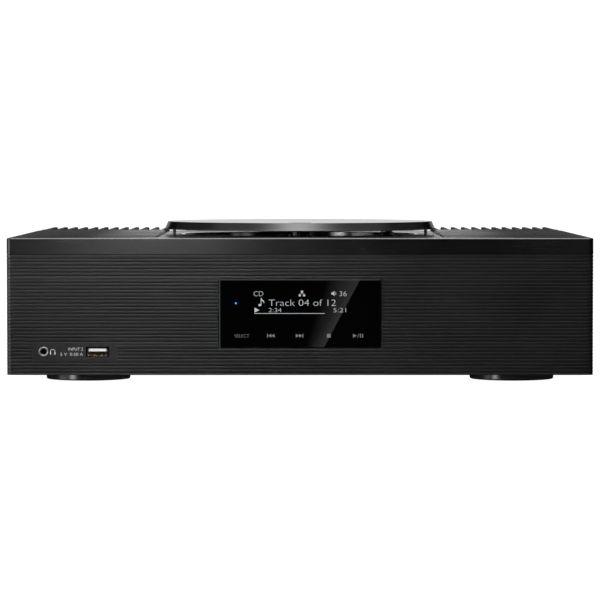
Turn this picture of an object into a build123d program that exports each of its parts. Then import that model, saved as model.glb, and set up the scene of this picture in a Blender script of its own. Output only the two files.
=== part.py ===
from build123d import *
import os
from math import acos, cos, pi, radians, sin, tan

# CD player, in millimetres. X to the right seen from the front, Y to the rear, Z up.
# The origin is the centre of the footprint, at the bottom of the foot pads.

# ---------- overall sizes ----------
WIDTH = 360.0
DEPTH = 248.0
DECK_TOP = 88.4
SEAM = 78.3
BODY_BOTTOM = 4.4
CORNER_R = 2.8
HALF_W = WIDTH / 2
FRONT = -DEPTH / 2
REAR = DEPTH / 2

# ---------- shell ----------
CAP_WALL = 2.5
DECK_UNDER = 85.4
CAP_CHAMFER = 0.8
PANEL_T = 6.0
SIDE_T = 4.0
SKIN_T = 3.0
RIB_PITCH = 2.13
RIB_COUNT = 34
GROOVE_H = 0.6
GROOVE_DEPTH = 0.4
FLOOR_T = 1.5
FLOOR_TOP = BODY_BOTTOM + FLOOR_T
FLANGE_TOP = 14.0
PANEL_BACK = FRONT + PANEL_T
REAR_PANEL = (112.0, 114.0)
LUG_X = (-78.0, -25.0, 25.0, 78.0)
LUG_SCREW_Z = 81.0
INSIDE_X = HALF_W - SIDE_T

# ---------- finned vents ----------
FIN_PITCH = 7.0
FIN_COUNT = 12
FIN_T = 2.6
FIN_FIRST_X = 91.0
FIN_TOP = 90.7
FIN_BOTTOM = 84.4
FIN_EDGE = 0.4
RAMP_FRONT = -104.0
RAMP_BACK = 36.0
VENT_X = (FIN_FIRST_X - FIN_T / 2, FIN_FIRST_X + FIN_PITCH * (FIN_COUNT - 1) + FIN_T / 2)
VENT_Y = (RAMP_BACK, 118.0)
VENT_GAP = 0.1
VENT_BARS_Y = (38.2, 77.0, 115.8)

# ---------- disc well and lid ----------
WELL_R = 75.0
WELL_WALL = 2.0
WELL_FLOOR = 83.4
WELL_UNDER = 81.4
WELL_RIM_R = 86.0
WELL_SCREW_R = 81.5
LID_BOTTOM = 91.8
LID_TOP = 97.0
LID_LAND = 0.5
LID_R_BOTTOM = 87.7
LID_R_TOP = 85.6
PIVOT = (58.0, 58.0)
PIVOT_R = 2.5
RUN_GAP = 0.05
LEVER_REACH = 13.0
BUMPER_X = 80.4
BUMPER_Y = -32.4
BUMPER_R = 1.0

# ---------- disc drive ----------
SEAT_Z = 85.6
HUB_R = 7.4
HUB_NECK_R = 7.0
HUB_SHOULDER_Z = 86.7
PLATTER_R = 15.0
SPINDLE_R = 1.0
BALL_R = 1.5
BALL_CENTRE_R = 6.1
BALL_Z = 87.4
BALL_ANGLES = (75, 195, 315)
CHASSIS_Z = (72.0, 74.0)
ROD_Y = 20.0
ROD_Z = 76.4
ROD_R = 1.5
ROD_X = (8.0, 74.0)
SLED_X = 24.0
LENS_TOP = 83.9
DRIVE_POSTS = ((-28, -29), (-28, 38), (74, -29), (74, 38))

# ---------- feed gears ----------
PRESSURE_ANGLE = radians(25)
ADDENDUM = 0.8
DEDENDUM = 1.15
BACKLASH = 0.06
RACK_MODULE = 0.6
PINION_TEETH = 16
WHEEL_MODULE = 0.5
WHEEL_TEETH = 36
MOTOR_TEETH = 10
PINION_R = RACK_MODULE * PINION_TEETH / 2
WHEEL_R = WHEEL_MODULE * WHEEL_TEETH / 2
MOTOR_PINION_R = WHEEL_MODULE * MOTOR_TEETH / 2
RACK_PITCH_Y = 27.0
GEAR_X = 40.0
GEAR_Y = RACK_PITCH_Y + PINION_R
MOTOR_X = GEAR_X + WHEEL_R + MOTOR_PINION_R
GEAR_PIN_R = 1.0
MOTOR_SHAFT_R = 0.75

# ---------- front sockets and display ----------
WINDOW_X = 50.3
WINDOW_Z = (20.6, 63.8)
GLASS_X = 49.5
GLASS_Z = (21.3, 63.1)
GLASS_T = 3.0
GLASS_CHAMFER = 0.5
JACK = (-157.3, 18.8)
JACK_R = 1.8
JACK_RING_R = 3.1
SOCKET_FIELD_X = (-164.0, -112.1)
SOCKET_FIELD_Z = (13.2, 23.1)
JACK_DEPTH = 13.0
USB = (-124.3, 18.5)
USB_OPENING = (14.4, 6.7)
USB_SHELL = (13.2, 5.8)
USB_WALL = 0.35
USB_CONTACTS = (-3.5, -1.0, 1.0, 3.5)
LEDGE_X = 45.0
LEDGE_Z = (23.0, 61.0)
FRONT_BOARD_T = 1.6

# ---------- feet ----------
FOOT_X = 132.0
FOOT_Y = 89.0
FOOT_R = 26.1
PAD_R = 21.0
PAD_T = 1.2
FOOT_PLACES = [(x, y) for x in (-FOOT_X, FOOT_X) for y in (-FOOT_Y, FOOT_Y)]

# ---------- rear sockets and boards ----------
INLET = (-150.0, 24.0)
LINE_JACKS = ((-67.0, 26.0), (-53.0, 26.0))
LINE_JACK_R = 4.15
LAN = (10.0, 22.0)
BOARD_Z = (12.6, 14.2)
MAIN_BOARD = ((-88, 84), (20, 109))
POWER_BOARD = ((-170, -92), (-20, 98))
SCREW_R = 1.5
HEAD_R = 3.0
HEAD_T = 1.8


# ---------- shared shapes ----------
def block(x_range, y_range, z_range):
    """A box between two limits along each axis."""
    ranges = (x_range, y_range, z_range)
    size = [high - low for low, high in ranges]
    centre = [(high + low) / 2 for low, high in ranges]
    return Pos(*centre) * Box(*size)


def around(centre, half):
    """The two limits that lie half a width each side of a centre."""
    return (centre - half, centre + half)


def post(x, y, z_range, radius):
    """An upright cylinder."""
    low, high = z_range
    return Pos(x, y, (low + high) / 2) * Cylinder(radius, high - low)


def rod_along_y(x, z, y_range, radius):
    low, high = y_range
    return Pos(x, (low + high) / 2, z) * Rot(90, 0, 0) * Cylinder(radius, high - low)


def rod_along_x(y, z, x_range, radius):
    low, high = x_range
    return Pos((low + high) / 2, y, z) * Rot(0, 90, 0) * Cylinder(radius, high - low)


def ring(x, y, z_range, outer, inner):
    return post(x, y, z_range, outer) - post(x, y, z_range, inner)


def rounded_slab(width, depth, radius, z_range):
    low, high = z_range
    return Pos(0, 0, low) * extrude(RectangleRounded(width, depth, radius), high - low)


def upright_slot(x, z, width, height, radius, y_range):
    """A rounded rectangle seen from the front, with depth along Y."""
    low, high = y_range
    face = Pos(x, high, z) * Rot(90, 0, 0) * RectangleRounded(width, height, radius)
    return extrude(face, high - low, dir=(0, -1, 0))


def turned(points, x=0.0, y=0.0):
    """A solid of revolution about an upright axis, from (radius, z) points."""
    profile = make_face(Polyline(*[(r, 0, z) for r, z in points], close=True))
    return Pos(x, y, 0) * revolve(profile, Axis.Z, 360)


def screw_up(x, y, head_bottom, tip, radius=SCREW_R):
    """A screw driven upwards, its head at the bottom."""
    head = post(x, y, (head_bottom, head_bottom + HEAD_T), radius * 2)
    shank = post(x, y, (head_bottom + HEAD_T, tip), radius)
    recess = post(x, y, (head_bottom, head_bottom + HEAD_T / 2), radius)
    return head + shank - recess


def group(shapes):
    """Several separate solids kept under one name."""
    return Compound([solid for shape in shapes for solid in shape.solids()])


def gear_profile(teeth, module, first_angle):
    """An involute gear outline as a face in the XY plane, one tooth centred at first_angle degrees."""
    pitch_r = module * teeth / 2
    base_r = pitch_r * cos(PRESSURE_ANGLE)
    tip_r = pitch_r + ADDENDUM * module
    root_r = pitch_r - DEDENDUM * module
    flank_start = max(base_r, root_r)
    pitch_half = pi / (2 * teeth) - BACKLASH / (2 * pitch_r)

    def half_angle(radius):
        local = acos(min(1.0, base_r / radius))
        return pitch_half + tan(PRESSURE_ANGLE) - PRESSURE_ANGLE - (tan(local) - local)

    radii = [flank_start + (tip_r - flank_start) * step / 3 for step in range(4)]
    flank = [(radius, half_angle(radius)) for radius in radii]
    if root_r < base_r:
        flank = [(root_r, half_angle(base_r))] + flank
    points = []
    for tooth in range(teeth):
        middle = radians(first_angle) + 2 * pi * tooth / teeth
        rising = [(radius, middle - half) for radius, half in flank]
        falling = [(radius, middle + half) for radius, half in reversed(flank)]
        points += [(radius * cos(angle), radius * sin(angle)) for radius, angle in rising + falling]
    return make_face(Polyline(*points, close=True))


# ---------- shell ----------
def rib_grooves():
    """The rings that cut the horizontal grooves round the front and the sides."""
    outline = RectangleRounded(WIDTH + 4, DEPTH + 4, CORNER_R + 2)
    inner = RectangleRounded(WIDTH - 2 * GROOVE_DEPTH, DEPTH - 2 * GROOVE_DEPTH, CORNER_R - GROOVE_DEPTH)
    one = extrude(outline - inner, GROOVE_H)
    top = SEAM - GROOVE_H
    return [Pos(0, 0, top - RIB_PITCH * count) * one for count in range(RIB_COUNT)]


def wall_shell():
    """The grooved outer wall below the seam, before it is divided into panels."""
    outer = rounded_slab(WIDTH, DEPTH, CORNER_R, (BODY_BOTTOM, SEAM))
    hollow = block((-INSIDE_X, INSIDE_X), (PANEL_BACK, REAR + 1), (BODY_BOTTOM, SEAM))
    return (outer - hollow).cut(*rib_grooves())


def front_panel(wall):
    """Ribbed front with the display window and a smooth field round the two sockets."""
    panel = wall & block((-HALF_W, HALF_W), (FRONT, PANEL_BACK), (BODY_BOTTOM, SEAM))
    panel = panel + block(SOCKET_FIELD_X, (FRONT, PANEL_BACK - 1), SOCKET_FIELD_Z)
    pocket = block((62, 172), (FRONT + SKIN_T, PANEL_BACK), (12.5, 72))
    window = block((-WINDOW_X, WINDOW_X), (FRONT - 1, FRONT + GLASS_T), WINDOW_Z)
    ledge = block((-LEDGE_X, LEDGE_X), (FRONT + GLASS_T, PANEL_BACK), LEDGE_Z)
    jack_hole = rod_along_y(*JACK, (FRONT - 1, PANEL_BACK), JACK_RING_R)
    usb_hole = upright_slot(*USB, *USB_OPENING, 0.6, (FRONT - 1, PANEL_BACK))
    screw_holes = [rod_along_y(x, 9, (PANEL_BACK - 3, PANEL_BACK), SCREW_R) for x in (-120, 0, 120)]
    return panel.cut(pocket, mirror(pocket, Plane.YZ), window, ledge, jack_hole, usb_hole, *screw_holes)


def side_panel(wall, side):
    x_range = sorted((side * HALF_W, side * INSIDE_X))
    panel = wall & block(x_range, (PANEL_BACK, REAR), (BODY_BOTTOM, SEAM))
    return panel.cut(*[side_screw_shank(side, y) for y in (-80, 0, 80)])


def side_screw_shank(side, y):
    x_range = sorted((side * (INSIDE_X - FLOOR_T), side * (INSIDE_X + 2.5)))
    return rod_along_x(y, 11, x_range, SCREW_R)


def side_screws():
    screws = []
    for side in (-1, 1):
        x_range = sorted((side * (INSIDE_X - FLOOR_T), side * (INSIDE_X - FLOOR_T - HEAD_T)))
        for y in (-80, 0, 80):
            screws.append(side_screw_shank(side, y) + rod_along_x(y, 11, x_range, HEAD_R))
    return screws


def front_screws():
    flange = PANEL_BACK + FLOOR_T
    screws = []
    for x in (-120, 0, 120):
        shank = rod_along_y(x, 9, (PANEL_BACK - 3, flange), SCREW_R)
        screws.append(shank + rod_along_y(x, 9, (flange, flange + HEAD_T), HEAD_R))
    return screws


def rear_screws():
    inner, outer = REAR_PANEL
    screws = []
    for x, z in [(x, 10.5) for x in (-165, 165)] + [(x, LUG_SCREW_Z) for x in LUG_X]:
        shank = rod_along_y(x, z, (inner - 6, outer), SCREW_R)
        screws.append(shank + rod_along_y(x, z, (outer, outer + HEAD_T), HEAD_R))
    return screws


def case_screws():
    return group(side_screws() + front_screws() + rear_screws() + foot_screws())


def base_chassis():
    """Bent sheet-steel tray: a floor with four upstands."""
    inner, outer = REAR_PANEL
    x_range = (-INSIDE_X, INSIDE_X)
    y_range = (PANEL_BACK, inner)
    tray = block(x_range, y_range, (BODY_BOTTOM, FLANGE_TOP))
    hollow = block(around(0, INSIDE_X - FLOOR_T), (PANEL_BACK + FLOOR_T, inner - FLOOR_T),
                   (FLOOR_TOP, FLANGE_TOP))
    low_front = block((-INSIDE_X, INSIDE_X), (PANEL_BACK, PANEL_BACK + FLOOR_T), (12.5, FLANGE_TOP))
    slots = [block(around(x, 1.5), around(y, 14), (BODY_BOTTOM, FLOOR_TOP))
             for side in (-1, 1) for x in [side * (60 + 8 * count) for count in range(5)] for y in (-50, 50)]
    holes = [post(x, y, (BODY_BOTTOM, FLOOR_TOP), SCREW_R) for x, y in FOOT_PLACES]
    tray = tray.cut(hollow, low_front, *slots, *holes)
    tray = tray.cut(*side_screws(), *front_screws(), *rear_screws())
    pillars = [post(x, y, (FLOOR_TOP, BOARD_Z[0]), 3) for x, y in board_screw_places()]
    threads = [post(x, y, (FLOOR_TOP + 1, BOARD_Z[0]), SCREW_R) for x, y in board_screw_places()]
    return tray.fuse(*pillars).cut(*threads)


def rear_panel():
    """Sheet whose two large cut-outs are open at the bottom, so that it drops over the connectors."""
    panel = block((-INSIDE_X, INSIDE_X), REAR_PANEL, (BODY_BOTTOM, FIN_BOTTOM))
    inlet = upright_slot(*INLET, 20, 13, 1, REAR_PANEL) + block(around(INLET[0], 10), REAR_PANEL, (0, INLET[1]))
    line_holes = [rod_along_y(x, z, REAR_PANEL, LINE_JACK_R) for x, z in LINE_JACKS]
    lan_hole = upright_slot(*LAN, 16, 14, 0.5, REAR_PANEL) + block(around(LAN[0], 8), REAR_PANEL, (0, LAN[1]))
    vents = [block(around(x, 1.5), REAR_PANEL, (34, 66)) for x in range(70, 151, 8)]
    return panel.cut(inlet, lan_hole, *line_holes, *vents, *rear_screws())


def top_cap():
    """Deck with a turned-down band, two ramps up to the vents, and the opening for the disc well."""
    cap = rounded_slab(WIDTH, DEPTH, CORNER_R, (SEAM, DECK_TOP))
    cap = chamfer(cap.faces().sort_by(Axis.Z)[-1].edges(), CAP_CHAMFER)
    hollow = rounded_slab(WIDTH - 2 * CAP_WALL, DEPTH - 2 * CAP_WALL, 0.5, (SEAM, DECK_UNDER))
    cap = cap - hollow
    low, high = VENT_X[0] - 1.3, VENT_X[1] + 1.0
    wedge = Polyline((0, RAMP_FRONT, DECK_TOP), (0, RAMP_BACK, FIN_TOP), (0, RAMP_BACK, DECK_UNDER),
                     (0, RAMP_FRONT, DECK_UNDER), close=True)
    ramp = extrude(Pos(low, 0, 0) * make_face(wedge), high - low, dir=(1, 0, 0))
    lugs = [block(around(x, 5), (REAR_PANEL[0] - 8, REAR_PANEL[0]), (77, DECK_UNDER)) for x in LUG_X]
    cap = cap.fuse(ramp, mirror(ramp, Plane.YZ), *lugs)
    window = block(VENT_X, VENT_Y, (DECK_UNDER, FIN_TOP))
    window = window + block((VENT_X[0] - VENT_GAP, VENT_X[1] + VENT_GAP), VENT_Y, (DECK_UNDER, DECK_TOP))
    well = post(0, 0, (DECK_UNDER, DECK_TOP), WELL_R + WELL_WALL)
    bush = post(*PIVOT, (DECK_UNDER, DECK_TOP), 4)
    stems = [post(x, BUMPER_Y, (DECK_TOP - 2, DECK_TOP), BUMPER_R) for x in (-BUMPER_X, BUMPER_X)]
    return cap.cut(window, mirror(window, Plane.YZ), well, bush, *stems, *well_screws(), *rear_screws())


def vent_grille(side):
    """Twelve upright fins tied together by three cross bars under the deck."""
    half = FIN_T / 2
    profile = make_face(Polyline((-half, 0, FIN_BOTTOM), (half, 0, FIN_BOTTOM), (half, 0, FIN_TOP - FIN_EDGE),
                                 (half - FIN_EDGE, 0, FIN_TOP), (FIN_EDGE - half, 0, FIN_TOP),
                                 (-half, 0, FIN_TOP - FIN_EDGE), close=True))
    front = VENT_Y[0] + VENT_GAP
    fin = Pos(0, front, 0) * extrude(profile, REAR - front, dir=(0, 1, 0))
    fin = fin - block((-half, half), (VENT_Y[1] - VENT_GAP, REAR), (FIN_BOTTOM, DECK_TOP))
    fins = [Pos(FIN_FIRST_X + FIN_PITCH * count, 0, 0) * fin for count in range(FIN_COUNT)]
    bars = [block(VENT_X, around(y, 2), (FIN_BOTTOM, FIN_BOTTOM + 2)) for y in VENT_BARS_Y]
    grille = fins[0].fuse(*fins[1:], *bars)
    return grille if side > 0 else mirror(grille, Plane.YZ)


# ---------- feet ----------
def foot(x, y):
    return turned([(SCREW_R, BODY_BOTTOM), (FOOT_R, BODY_BOTTOM), (FOOT_R, 1.3), (FOOT_R - 0.4, 0.6),
                   (FOOT_R - 1.2, 0.3), (PAD_R, 0.3), (PAD_R, PAD_T), (4, PAD_T), (4, 2.6),
                   (SCREW_R, 2.6)], x, y)


def foot_pads():
    return group([ring(x, y, (0, PAD_T), PAD_R, 5) for x, y in FOOT_PLACES])


def foot_screws():
    return [screw_up(x, y, 2.6 - HEAD_T, 9) for x, y in FOOT_PLACES]


# ---------- disc well and lid ----------
def well_screws():
    places = [(WELL_SCREW_R * cos(radians(a)), WELL_SCREW_R * sin(radians(a))) for a in range(0, 360, 60)]
    return [screw_up(x, y, WELL_UNDER - HEAD_T, DECK_TOP - 1) for x, y in places]


def disc_well():
    """Round tray under the deck, open at the centre for the hub and along X for the lens."""
    tray = post(0, 0, (WELL_UNDER, DECK_UNDER), WELL_RIM_R)
    bowl = post(0, 0, (WELL_FLOOR, DECK_UNDER), WELL_R + WELL_WALL)
    hub_hole = post(0, 0, (WELL_UNDER, WELL_FLOOR), 17)
    lens_slot = block((0, 67), (-7.5, 7.5), (WELL_UNDER, WELL_FLOOR))
    bush = post(*PIVOT, (WELL_UNDER, DECK_UNDER), 4)
    posts = [post(x, y, (78, WELL_UNDER), 4) for x, y in DRIVE_POSTS]
    threads = [post(x, y, (78, WELL_UNDER - 0.8), SCREW_R) for x, y in DRIVE_POSTS]
    return tray.cut(bowl, hub_hole, lens_slot, bush, *well_screws()).fuse(*posts).cut(*threads)


def well_ring():
    return ring(0, 0, (WELL_FLOOR, DECK_TOP + 0.3), WELL_R + WELL_WALL, WELL_R)


def lid_plate():
    """Round smoked plate with a bevelled rim and a small thumb dimple at the front."""
    plate = turned([(0, LID_BOTTOM + LID_LAND), (LID_R_BOTTOM, LID_BOTTOM + LID_LAND),
                    (LID_R_BOTTOM, LID_BOTTOM + 2 * LID_LAND), (LID_R_TOP, LID_TOP), (0, LID_TOP)])
    socket = post(*PIVOT, (LID_BOTTOM, LID_TOP - 2), PIVOT_R)
    dimple_r = 26.0
    dimple = Pos(0, -76, LID_TOP + dimple_r - 1.1) * Sphere(dimple_r)
    return plate - socket - dimple


def lid_backing():
    plate = post(0, 0, (LID_BOTTOM, LID_BOTTOM + LID_LAND), LID_R_BOTTOM)
    return plate - post(*PIVOT, (LID_BOTTOM, LID_BOTTOM + LID_LAND), PIVOT_R)


def lid_shaft():
    shaft = post(*PIVOT, (72, LID_TOP - 2), PIVOT_R)
    collar = post(*PIVOT, (DECK_TOP + 0.5, LID_BOTTOM), 3.8)
    clip_groove = ring(*PIVOT, (76.9, 77.7), PIVOT_R, PIVOT_R - 0.5)
    return shaft + collar - clip_groove


def lid_bush():
    bush = turned([(PIVOT_R + RUN_GAP, 78), (4, 78), (4, DECK_TOP), (4.6, DECK_TOP), (4.6, DECK_TOP + 0.45),
                   (PIVOT_R + RUN_GAP, DECK_TOP + 0.45)], *PIVOT)
    return bush


def lid_clip():
    x, y = PIVOT
    clip = ring(x, y, (76.9, 77.7), 4.2, PIVOT_R - 0.5)
    return clip - block(around(x, 1.5), (y, y + 5), (76.9, 77.7))


def lid_lever():
    """Arm clamped to the foot of the lid shaft; it presses the lid switch when the lid is shut."""
    x, y = PIVOT
    z_range = (73, 76)
    arm = block((x, x + LEVER_REACH), around(y, 2.5), z_range)
    arm = arm + post(x, y, z_range, 5) + post(x + LEVER_REACH, y, z_range, 2.5)
    return arm - post(x, y, z_range, PIVOT_R)


def lid_switch():
    x, y = PIVOT
    body = block((x + 8, x + 20), (y - 10, y - 4.2), (72, WELL_UNDER))
    button = block(around(x + 13, 1), (y - 4.2, y - 2.6), (73.8, 75.2))
    return body + button


def lid_bumpers():
    z_range = (DECK_TOP - 2, LID_BOTTOM - RUN_GAP)
    return group([post(x, BUMPER_Y, z_range, BUMPER_R) for x in (-BUMPER_X, BUMPER_X)])


# ---------- disc drive ----------
def drive_chassis():
    plate = block((-36, 82), (-34, 44), CHASSIS_Z)
    rod_blocks = [block(x_range, around(y, 3), (CHASSIS_Z[1], 79)) for y in (-ROD_Y, ROD_Y)
                  for x_range in ((8, 12), (70, 74))]
    rods = [rod_along_x(y, ROD_Z, ROD_X, ROD_R) for y in (-ROD_Y, ROD_Y)]
    motor_boss = post(0, 0, CHASSIS_Z, 7)
    feed_boss = post(MOTOR_X, GEAR_Y, CHASSIS_Z, 2)
    gear_pin = post(GEAR_X, GEAR_Y, (CHASSIS_Z[0], 80.8), GEAR_PIN_R)
    screws = [post(x, y, CHASSIS_Z, SCREW_R) for x, y in DRIVE_POSTS]
    window = block((22, 62), (-11, 11), CHASSIS_Z)
    return plate.fuse(*rod_blocks, gear_pin).cut(*rods, motor_boss, feed_boss, window, *screws)


def grommets():
    return group([ring(x, y, (CHASSIS_Z[1], 78), 4, SCREW_R) for x, y in DRIVE_POSTS])


def guide_rod(y):
    return rod_along_x(y, ROD_Z, ROD_X, ROD_R)


def spindle_motor():
    bore = SPINDLE_R + RUN_GAP
    return turned([(bore, 60), (13, 60), (13, 72), (7, 72), (7, 75), (bore, 75)])


def spindle_shaft():
    return post(0, 0, (58, 88), SPINDLE_R)


def disc_hub():
    """Platter with a centring boss that the disc's hole drops over, and a neck that carries the balls."""
    hub = turned([(0, 76), (4, 76), (4, 83.9), (PLATTER_R, 83.9), (PLATTER_R, SEAT_Z), (14.5, SEAT_Z),
                  (14.5, SEAT_Z - 0.5), (10, SEAT_Z - 0.5), (10, SEAT_Z - 0.1), (HUB_R, SEAT_Z - 0.1),
                  (HUB_R, HUB_SHOULDER_Z), (HUB_NECK_R, HUB_SHOULDER_Z + 0.3), (HUB_NECK_R, 89.9),
                  (HUB_NECK_R - 1.2, 90.9), (0, 90.9)])
    pockets = []
    for angle in BALL_ANGLES:
        pocket = rod_along_x(0, BALL_Z, (3.4, HUB_R + 1), BALL_R + RUN_GAP)
        pockets.append(Rot(0, 0, angle) * pocket)
    return hub.cut(post(0, 0, (76, 88), SPINDLE_R), *pockets)


def seat_ring():
    return ring(0, 0, (SEAT_Z - 0.5, SEAT_Z), 14.5, 10)


def hub_ball(angle):
    return Rot(0, 0, angle) * Pos(BALL_CENTRE_R, 0, BALL_Z) * Sphere(BALL_R)


def pickup_sled():
    """Carriage on the two guide rods, with the feed rack along its rear edge."""
    middle = block(around(SLED_X, 9.5), (-15, 15), (74.6, 80))
    wings = block(around(SLED_X, 9.5), (-24, 24), (74.6, 78.2))
    rack_root = RACK_PITCH_Y - DEDENDUM * RACK_MODULE
    rack_bar = block((2, 44), (23.6, rack_root), (74.8, 77.4))
    pitch = pi * RACK_MODULE
    half_pitch_tooth = pitch / 4 - BACKLASH / 2
    slope = tan(PRESSURE_ANGLE)
    root_half = half_pitch_tooth + DEDENDUM * RACK_MODULE * slope
    tip_half = half_pitch_tooth - ADDENDUM * RACK_MODULE * slope
    tip = RACK_PITCH_Y + ADDENDUM * RACK_MODULE
    tooth_face = make_face(Polyline((-root_half, rack_root), (root_half, rack_root), (tip_half, tip),
                                    (-tip_half, tip), close=True))
    tooth = Pos(0, 0, 74.8) * extrude(tooth_face, 2.6)
    teeth = [Pos(GEAR_X + pitch * count, 0, 0) * tooth for count in range(-19, 2)]
    bores = [rod_along_x(y, ROD_Z, ROD_X, ROD_R + RUN_GAP) for y in (-ROD_Y, ROD_Y)]
    return middle.fuse(wings, rack_bar, *teeth).cut(*bores)


def pickup_cover():
    cover = block(around(SLED_X, 6), around(0, 6.5), (80, 82.9))
    return cover - post(SLED_X, 0, (80, 82.9), 4.4)


def lens_carrier():
    return ring(SLED_X, 0, (80.6, 83.2), 3.6, 1.8)


def objective_lens():
    return turned([(0, 83.0), (1.8, 83.0), (1.8, 83.2), (2.8, 83.2), (2.6, 83.6), (1.9, 83.8),
                   (1.0, LENS_TOP), (0, LENS_TOP)], SLED_X, 0)


def feed_gear():
    pinion = Pos(0, 0, 74.9) * extrude(gear_profile(PINION_TEETH, RACK_MODULE, 180 / PINION_TEETH), 3.6)
    wheel = Pos(0, 0, 78.5) * extrude(gear_profile(WHEEL_TEETH, WHEEL_MODULE, 0), 1.8)
    bore = post(0, 0, (74, 81), GEAR_PIN_R + RUN_GAP)
    return Pos(GEAR_X, GEAR_Y, 0) * (pinion + wheel - bore)


def feed_motor():
    bore = MOTOR_SHAFT_R + RUN_GAP
    return turned([(bore, 58), (6, 58), (6, 72), (2, 72), (2, 74.6), (bore, 74.6)], MOTOR_X, GEAR_Y)


def feed_pinion():
    """The feed motor's shaft with its pinion."""
    pinion = Pos(0, 0, 78.5) * extrude(gear_profile(MOTOR_TEETH, WHEEL_MODULE, 180 / MOTOR_TEETH), 1.6)
    return Pos(MOTOR_X, GEAR_Y, 0) * (pinion + post(0, 0, (56.5, 80.1), MOTOR_SHAFT_R))


# ---------- front sockets and display ----------
def display_glass():
    glass = block((-GLASS_X, GLASS_X), (FRONT, FRONT + GLASS_T), GLASS_Z)
    return chamfer(glass.faces().sort_by(Axis.Y)[0].edges(), GLASS_CHAMFER)


def display_module():
    return block((-34, 34), (FRONT + GLASS_T, PANEL_BACK), (37, 60))


def status_led():
    return block(around(-39.3, 1), (FRONT + GLASS_T, PANEL_BACK), around(48.5, 0.8))


def front_board():
    """Board behind the display, with the raised electrode strip of the touch keys."""
    sheet = block((-60, 60), (PANEL_BACK, PANEL_BACK + FRONT_BOARD_T), (17, 71))
    touch_strip = block((-44, 44), (FRONT + GLASS_T, PANEL_BACK), (24, 34))
    return sheet + touch_strip


def jack_ring():
    x, z = JACK
    y_range = (FRONT, FRONT + SKIN_T)
    return rod_along_y(x, z, y_range, JACK_RING_R) - rod_along_y(x, z, y_range, JACK_R)


def headphone_jack():
    x, z = JACK
    front = FRONT + SKIN_T
    body = block(around(x, 4.5), (front, front + 15), (BOARD_Z[1], z + 4.6))
    return body - rod_along_y(x, z, (front, front + JACK_DEPTH), JACK_R)


def usb_shell():
    x, z = USB
    width, height = USB_SHELL
    body = upright_slot(x, z, width, height, 0.6, (FRONT + 0.4, -106))
    flange = upright_slot(x, z, USB_OPENING[0], USB_OPENING[1], 0.6, (FRONT + 0.4, FRONT + 1.2))
    legs = block(around(x, 5), (-112, -108), (BOARD_Z[1], z - height / 2))
    cavity = upright_slot(x, z, width - 2 * USB_WALL, height - 2 * USB_WALL, 0.3, (FRONT, -106))
    return body + flange + legs - cavity


def usb_tongue():
    x, z = USB
    width, height = USB_SHELL
    plug = upright_slot(x, z, width - 2 * USB_WALL, height - 2 * USB_WALL, 0.3, (-108, -106))
    tongue = block(around(x, 5.5), (FRONT + 1.6, -108), (z + 0.4, z + 2.1))
    return plug + tongue


def usb_contacts():
    x, z = USB
    z_range = (z + 0.25, z + 0.4)
    return group([block(around(x + offset, 0.5), (FRONT + 3, -109), z_range) for offset in USB_CONTACTS])


def socket_board():
    return block((-168, -108), (FRONT + SKIN_T, -100), BOARD_Z)


# ---------- rear sockets ----------
def mains_inlet():
    x, z = INLET
    body = upright_slot(x, z, 20, 13, 1, (98, 117))
    flange = upright_slot(x, z, 27, 17, 2, (REAR_PANEL[1], REAR_PANEL[1] + 1.5))
    lobes = [rod_along_y(x + offset, z, (103, 117), 4.3) for offset in (-3.4, 3.4)]
    pins = [rod_along_y(x + offset, z, (99, 103), 1.15) for offset in (-4.3, 4.3)]
    web = block(around(x, 3.4), (103, 117), around(z, 3.4))
    return (body + flange).cut(*lobes, web, *pins)


def inlet_pins():
    x, z = INLET
    return group([rod_along_y(x + offset, z, (99, 114), 1.15) for offset in (-4.3, 4.3)])


def line_jacks():
    """Moulded block behind the rear panel with an insulated socket inside each shell."""
    low, high = LINE_JACKS[0][0] - 8, LINE_JACKS[1][0] + 8
    body = block((low, high), (100, REAR_PANEL[0]), (BOARD_Z[1], 36))
    inserts = [rod_along_y(x, z, (REAR_PANEL[0], 121.5), 3.5) for x, z in LINE_JACKS]
    sockets = [rod_along_y(x, z, (REAR_PANEL[0] + 1, 121.5), 1.7) for x, z in LINE_JACKS]
    return body.fuse(*inserts).cut(*sockets)


def line_jack_shells():
    shells = []
    for x, z in LINE_JACKS:
        y_range = (REAR_PANEL[0], 122)
        shells.append(rod_along_y(x, z, y_range, LINE_JACK_R) - rod_along_y(x, z, y_range, 3.5))
    return group(shells)


def lan_socket():
    x, z = LAN
    body = upright_slot(x, z, 16, 14, 0.5, (98, 115))
    pegs = block(around(x, 6), (100, 106), (BOARD_Z[1], z - 7))
    port = block(around(x, 5.9), (101, 115), (z - 3.4, z + 3.4))
    latch = block(around(x, 3), (101, 115), (z - 5.6, z - 3.4))
    return body + pegs - port - latch


# ---------- electronics ----------
def board_corners(x_range, y_range):
    inset = 5
    columns = (x_range[0] + inset, x_range[1] - inset)
    rows = (y_range[0] + inset, y_range[1] - inset)
    return [(x, y) for x in columns for y in rows]


def board_screw_places():
    return board_corners(*MAIN_BOARD) + board_corners(*POWER_BOARD)


def board(x_range, y_range):
    holes = [post(x, y, BOARD_Z, SCREW_R) for x, y in board_corners(x_range, y_range)]
    return block(x_range, y_range, BOARD_Z).cut(*holes)


def board_screws():
    screws = []
    for x, y in board_screw_places():
        shank = post(x, y, (FLOOR_TOP + 2, BOARD_Z[1]), SCREW_R)
        screws.append(shank + post(x, y, (BOARD_Z[1], BOARD_Z[1] + HEAD_T), HEAD_R))
    return screws


def drive_screws():
    return [screw_up(x, y, CHASSIS_Z[0] - HEAD_T, WELL_UNDER - 0.8) for x, y in DRIVE_POSTS]


def inner_screws():
    """The like screws that hold the well, the drive and the boards."""
    return group(well_screws() + drive_screws() + board_screws())


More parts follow.
